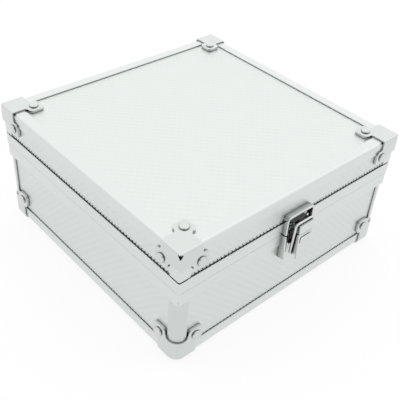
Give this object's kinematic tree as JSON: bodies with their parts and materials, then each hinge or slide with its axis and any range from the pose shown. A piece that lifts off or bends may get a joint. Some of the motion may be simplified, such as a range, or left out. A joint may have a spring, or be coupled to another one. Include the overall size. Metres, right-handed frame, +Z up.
{
  "type": "foam-lined aluminium case",
  "caption": "Low square storage case of aluminium-skinned boards in metal edge sections, with capped corners, a hinged lid, a draw latch with a wire bail and a soft foam lining.",
  "frame": {"origin": "centre of the bottom of the whole closed case's box, at the level of the lowest rivet heads that it rests on", "axes": "-Y is the front, with the latch; +Z is up; X runs from left to right as seen from the front"},
  "size_m": [0.2048, 0.2134, 0.0983],
  "materials": {
    "panel_skin": "fine embossed satin aluminium skin on a board",
    "edge_aluminium": "satin anodised extrusion",
    "corner_steel": "bright nickel-plated pressed steel",
    "rivet_steel": "bright nickel-plated steel",
    "latch_steel": "bright nickel-plated steel",
    "hinge_steel": "nickel-plated steel",
    "lining_foam": "matte soft foam"
  },
  "bodies": {
    "base": {"base_back_left_fitting": "corner_steel", "base_back_left_post": "edge_aluminium", "base_back_panel": "panel_skin", "base_back_right_fitting": "corner_steel", "base_back_right_post": "edge_aluminium", "base_back_rim": "edge_aluminium", "base_back_trim": "edge_aluminium", "base_corner_rivets": "rivet_steel", "base_floor_panel": "panel_skin", "base_foam_back": "lining_foam", "base_foam_floor": "lining_foam", "base_foam_front": "lining_foam", "base_foam_left": "lining_foam", "base_foam_right": "lining_foam", "base_front_left_fitting": "corner_steel", "base_front_left_post": "edge_aluminium", "base_front_panel": "panel_skin", "base_front_right_fitting": "corner_steel", "base_front_right_post": "edge_aluminium", "base_front_rim": "edge_aluminium", "base_front_trim": "edge_aluminium", "base_left_panel": "panel_skin", "base_left_rim": "edge_aluminium", "base_left_trim": "edge_aluminium", "base_right_panel": "panel_skin", "base_right_rim": "edge_aluminium", "base_right_trim": "edge_aluminium", "base_small_rivets": "rivet_steel", "hinge_left_base_leaf": "hinge_steel", "hinge_pins": "hinge_steel", "hinge_right_base_leaf": "hinge_steel", "latch_bracket": "latch_steel", "latch_pivot_pin": "latch_steel"},
    "lid": {"hinge_left_lid_leaf": "hinge_steel", "hinge_right_lid_leaf": "hinge_steel", "latch_keeper": "latch_steel", "lid_back_left_fitting": "corner_steel", "lid_back_panel": "panel_skin", "lid_back_right_fitting": "corner_steel", "lid_back_rim": "edge_aluminium", "lid_back_trim": "edge_aluminium", "lid_corner_posts": "edge_aluminium", "lid_corner_rivets": "rivet_steel", "lid_foam_pad": "lining_foam", "lid_front_left_fitting": "corner_steel", "lid_front_panel": "panel_skin", "lid_front_right_fitting": "corner_steel", "lid_front_rim": "edge_aluminium", "lid_front_trim": "edge_aluminium", "lid_left_panel": "panel_skin", "lid_left_rim": "edge_aluminium", "lid_left_trim": "edge_aluminium", "lid_right_panel": "panel_skin", "lid_right_rim": "edge_aluminium", "lid_right_trim": "edge_aluminium", "lid_small_rivets": "rivet_steel", "lid_top_panel": "panel_skin"},
    "lever": {"latch_lever": "latch_steel"},
    "bail": {"latch_bail": "latch_steel"}
  },
  "joints": [
    {"name": "lid_hinge", "type": "hinge", "parent": "base", "child": "lid", "pos_m": [0, 0.10276, 0.0639], "axis": [-1, 0, 0], "range_deg": [0, 95]},
    {"name": "latch_lever", "type": "hinge", "parent": "base", "child": "lever", "pos_m": [0, -0.10244, 0.0624], "axis": [-1, 0, 0], "range_deg": [0, 70]},
    {"name": "latch_bail", "type": "hinge", "parent": "lever", "child": "bail", "pos_m": [0, -0.10144, 0.0484], "axis": [-1, 0, 0], "range_deg": [-112, 0]}
  ],
  "couplings": [
    {"joint": "latch_bail", "follows": "latch_lever", "ratio": -1.6}
  ]
}
